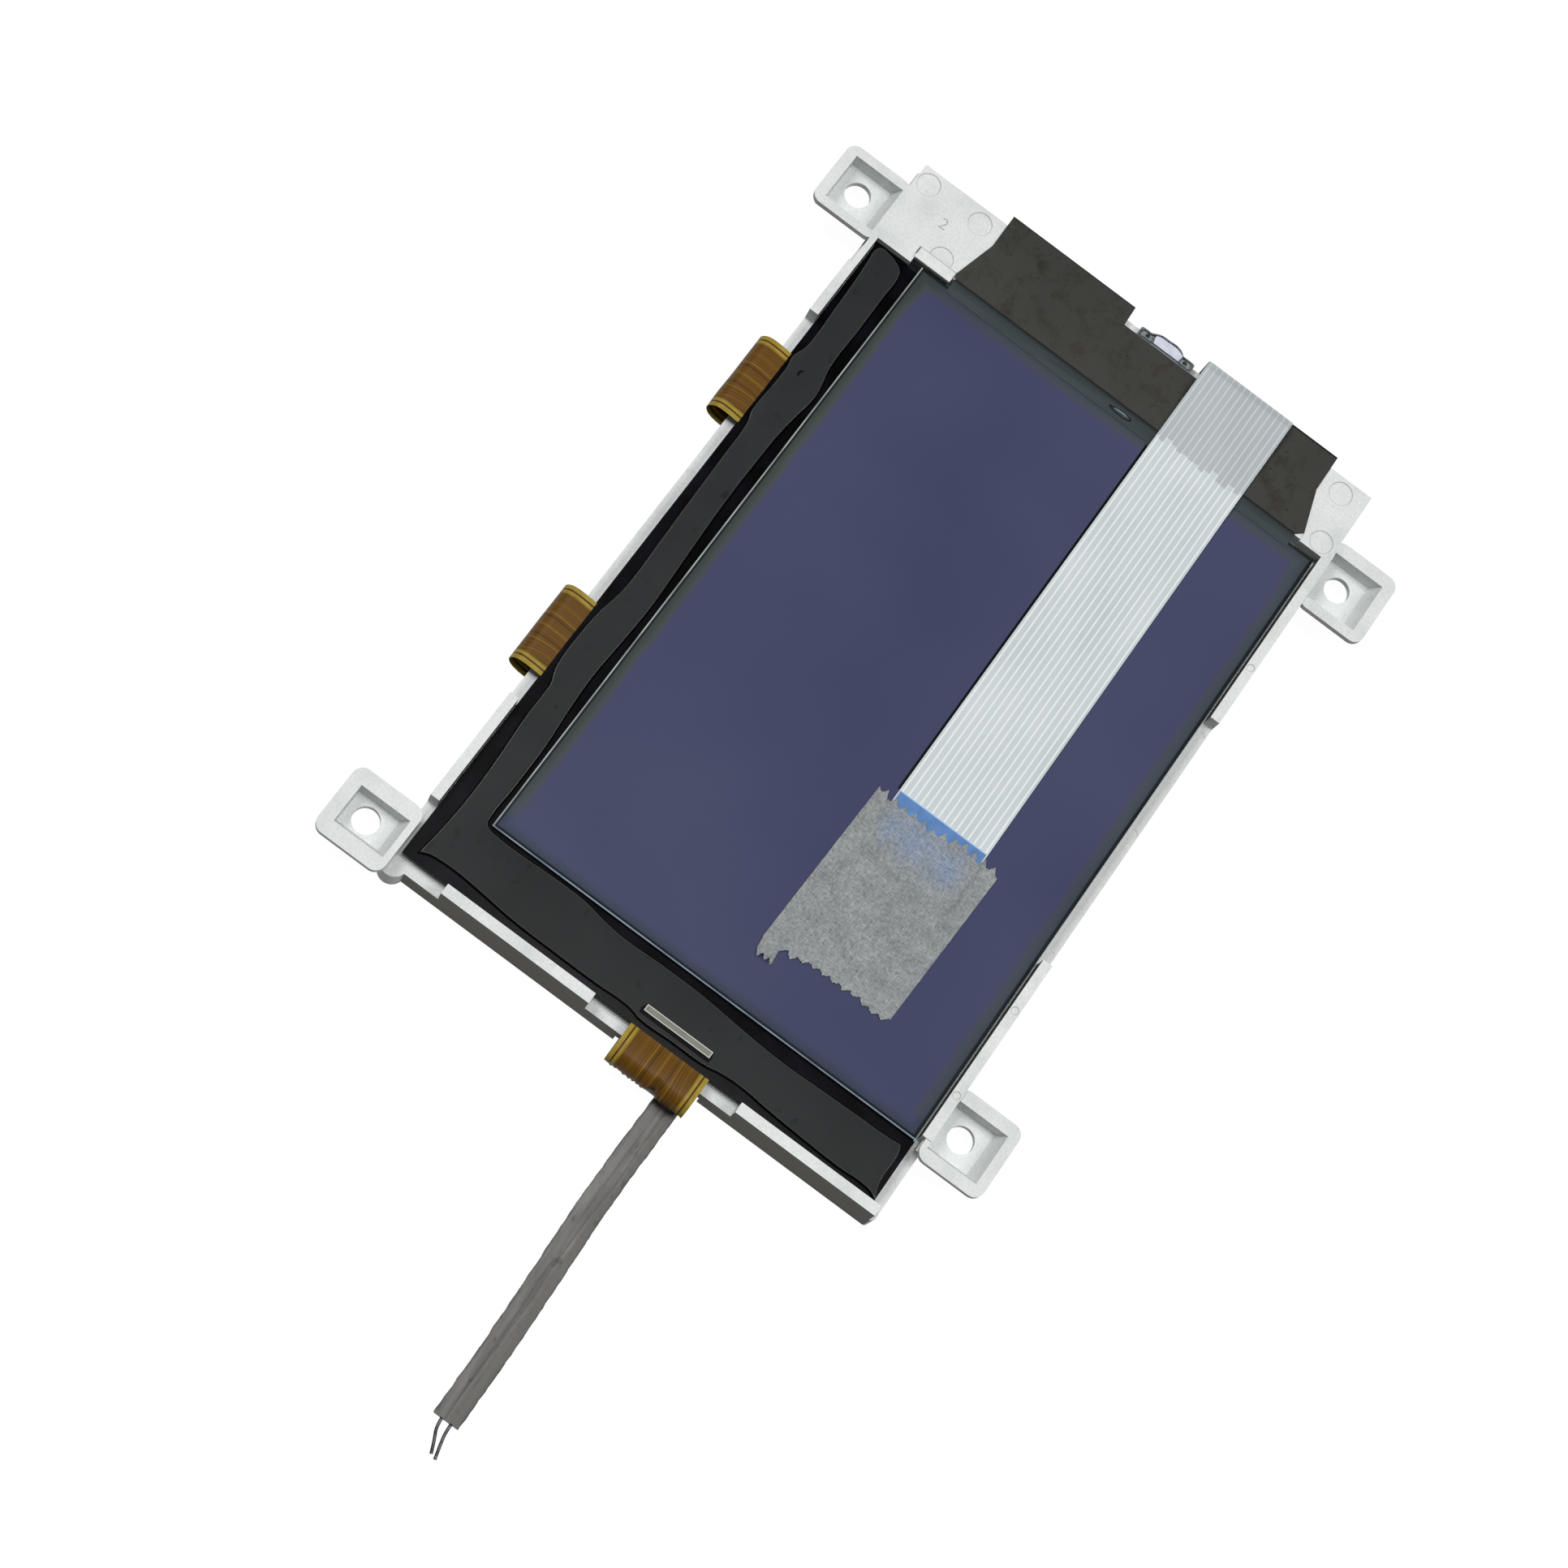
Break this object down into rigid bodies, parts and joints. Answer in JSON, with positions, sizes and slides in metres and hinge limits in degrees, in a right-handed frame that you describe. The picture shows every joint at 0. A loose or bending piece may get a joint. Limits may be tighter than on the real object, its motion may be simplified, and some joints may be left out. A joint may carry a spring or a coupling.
{
  "type": "lcd display",
  "caption": "Bare graphic liquid crystal panel in a moulded frame with mounting ears, driver tapes, a folded flat cable and a backlight lead.",
  "frame": {"origin": "bottom centre of the display without its free lead, on the plane it lies on", "axes": "+X along the panel from its lead end to its flat cable end, +Y towards the side with two driver tapes, +Z out of the screen"},
  "size_m": [0.2321, 0.123, 0.0104],
  "materials": {
    "frame_plastic": "satin",
    "cell_glass": "polished",
    "polarizer_film": "satin",
    "rear_polarizer_film": "satin",
    "foam": "matte",
    "sealant_resin": "semi-gloss",
    "tape_film": "semi-gloss",
    "silicon_cap": "matte",
    "board_laminate": "semi-gloss",
    "white_film": "matte",
    "acrylic": "polished",
    "lamp_housing": "satin",
    "screw_steel": "satin",
    "black_film": "matte",
    "cable_film": "semi-gloss",
    "blue_film": "semi-gloss",
    "masking_paper": "matte",
    "holder_plastic": "satin",
    "capacitor_ceramic": "matte",
    "tantalum_case": "satin",
    "trimmer_plastic": "satin",
    "connector_plastic": "satin",
    "sleeve_tube": "satin",
    "tinned_wire": "satin"
  },
  "bodies": {
    "root": {"frame": "frame_plastic", "rear_glass": "cell_glass", "front_glass": "cell_glass", "front_polarizer": "polarizer_film", "rear_polarizer": "rear_polarizer_film", "glass_cushion": "foam", "ledge_sealant": "sealant_resin", "driver_bar": "silicon_cap", "driver_tape_upper": "tape_film", "driver_tape_lower": "tape_film", "driver_tape_end": "tape_film", "driver_chip_upper": "silicon_cap", "driver_chip_lower": "silicon_cap", "driver_chip_end": "silicon_cap", "rear_board": "board_laminate", "reflector_sheet": "white_film", "light_guide": "acrylic", "diffuser_sheet": "white_film", "lamp_bar": "lamp_housing", "board_screws": "screw_steel", "black_sheet": "black_film", "flat_cable": "cable_film", "cable_stiffener": "blue_film", "masking_tape": "masking_paper", "lamp_holder": "holder_plastic", "lamp_block": "holder_plastic", "controller_chip": "silicon_cap", "memory_chip": "silicon_cap", "bias_amplifier": "silicon_cap", "chip_capacitors": "capacitor_ceramic", "storage_capacitors": "tantalum_case", "contrast_trimmer": "trimmer_plastic", "cable_connector": "connector_plastic", "lead_terminal": "connector_plastic", "lead_sleeve": "sleeve_tube", "lead_wires": "tinned_wire"}
  },
  "joints": []
}
